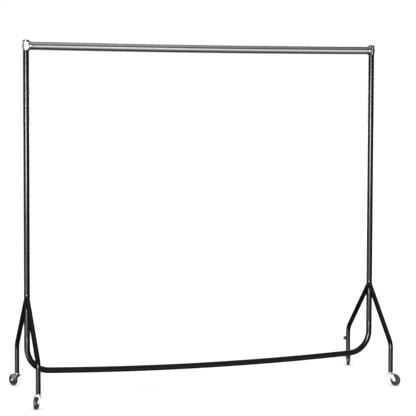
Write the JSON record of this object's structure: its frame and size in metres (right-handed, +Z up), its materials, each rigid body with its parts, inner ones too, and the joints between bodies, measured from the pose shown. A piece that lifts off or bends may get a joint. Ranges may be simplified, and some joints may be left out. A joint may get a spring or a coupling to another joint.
{
  "type": "rolling clothes rack",
  "caption": "Rolling clothes rack: chromed hanging rail on two black uprights, splayed bent legs at each end, a low U-shaped base rail and swivel castors.",
  "frame": {"origin": "on the floor, midway between the uprights and between the front and rear castors", "axes": "+X along the top rail to the right-hand upright, +Y to the rear, +Z up"},
  "size_m": [1.6596, 0.5664, 1.525],
  "materials": {
    "black_paint": "satin black powder coat",
    "chrome": "polished",
    "zinc": "bright zinc plate",
    "plastic": "moulded, dark",
    "rubber": "dull black"
  },
  "bodies": {
    "frame": {"base_rail_joiner": "zinc", "base_rail_left": "black_paint", "base_rail_right": "black_paint", "castor_insert_left_front": "plastic", "castor_insert_left_rear": "plastic", "castor_insert_right_front": "plastic", "castor_insert_right_rear": "plastic", "corner_bolt_left": "chrome", "corner_bolt_right": "chrome", "corner_connector_left": "chrome", "corner_connector_right": "chrome", "corner_nut_left": "zinc", "corner_nut_right": "zinc", "joiner_screw_left": "zinc", "joiner_screw_right": "zinc", "leg_left_front": "black_paint", "leg_left_rear": "black_paint", "leg_right_front": "black_paint", "leg_right_rear": "black_paint", "leg_stud": "rubber", "socket_screw_lower_left": "zinc", "socket_screw_lower_right": "zinc", "socket_screw_upper_left": "zinc", "socket_screw_upper_right": "zinc", "socket_tube_left": "black_paint", "socket_tube_right": "black_paint", "top_rail": "chrome", "upright_left": "black_paint", "upright_right": "black_paint"},
    "swivel_left_front": {"castor_axle_left_front": "zinc", "castor_fork_left_front": "zinc", "castor_grip_ring_left_front": "zinc", "castor_stem_left_front": "zinc", "castor_washer_left_front": "zinc"},
    "wheel_left_front": {"wheel_hub_left_front": "plastic", "wheel_tyre_left_front": "rubber"},
    "swivel_left_rear": {"castor_axle_left_rear": "zinc", "castor_fork_left_rear": "zinc", "castor_grip_ring_left_rear": "zinc", "castor_stem_left_rear": "zinc", "castor_washer_left_rear": "zinc"},
    "wheel_left_rear": {"wheel_hub_left_rear": "plastic", "wheel_tyre_left_rear": "rubber"},
    "swivel_right_front": {"castor_axle_right_front": "zinc", "castor_fork_right_front": "zinc", "castor_grip_ring_right_front": "zinc", "castor_stem_right_front": "zinc", "castor_washer_right_front": "zinc"},
    "wheel_right_front": {"wheel_hub_right_front": "plastic", "wheel_tyre_right_front": "rubber"},
    "swivel_right_rear": {"castor_axle_right_rear": "zinc", "castor_fork_right_rear": "zinc", "castor_grip_ring_right_rear": "zinc", "castor_stem_right_rear": "zinc", "castor_washer_right_rear": "zinc"},
    "wheel_right_rear": {"wheel_hub_right_rear": "plastic", "wheel_tyre_right_rear": "rubber"}
  },
  "joints": [
    {"name": "swivel_left_front", "type": "hinge", "parent": "frame", "child": "swivel_left_front", "pos_m": [-0.8, -0.235, 0.06], "axis": [0, 0, 1], "continuous": true},
    {"name": "roll_left_front", "type": "hinge", "parent": "swivel_left_front", "child": "wheel_left_front", "pos_m": [-0.81268, -0.25884, 0.02528], "axis": [0.8829, -0.4695, 0], "continuous": true},
    {"name": "swivel_left_rear", "type": "hinge", "parent": "frame", "child": "swivel_left_rear", "pos_m": [-0.8, 0.235, 0.06], "axis": [0, 0, 1], "continuous": true},
    {"name": "roll_left_rear", "type": "hinge", "parent": "swivel_left_rear", "child": "wheel_left_rear", "pos_m": [-0.81247, 0.25895, 0.02528], "axis": [-0.887, -0.4617, 0], "continuous": true},
    {"name": "swivel_right_front", "type": "hinge", "parent": "frame", "child": "swivel_right_front", "pos_m": [0.8, -0.235, 0.06], "axis": [0, 0, 1], "continuous": true},
    {"name": "roll_right_front", "type": "hinge", "parent": "swivel_right_front", "child": "wheel_right_front", "pos_m": [0.81247, -0.25895, 0.02528], "axis": [0.887, 0.4617, 0], "continuous": true},
    {"name": "swivel_right_rear", "type": "hinge", "parent": "frame", "child": "swivel_right_rear", "pos_m": [0.8, 0.235, 0.06], "axis": [0, 0, 1], "continuous": true},
    {"name": "roll_right_rear", "type": "hinge", "parent": "swivel_right_rear", "child": "wheel_right_rear", "pos_m": [0.81268, 0.25884, 0.02528], "axis": [-0.8829, 0.4695, 0], "continuous": true}
  ]
}
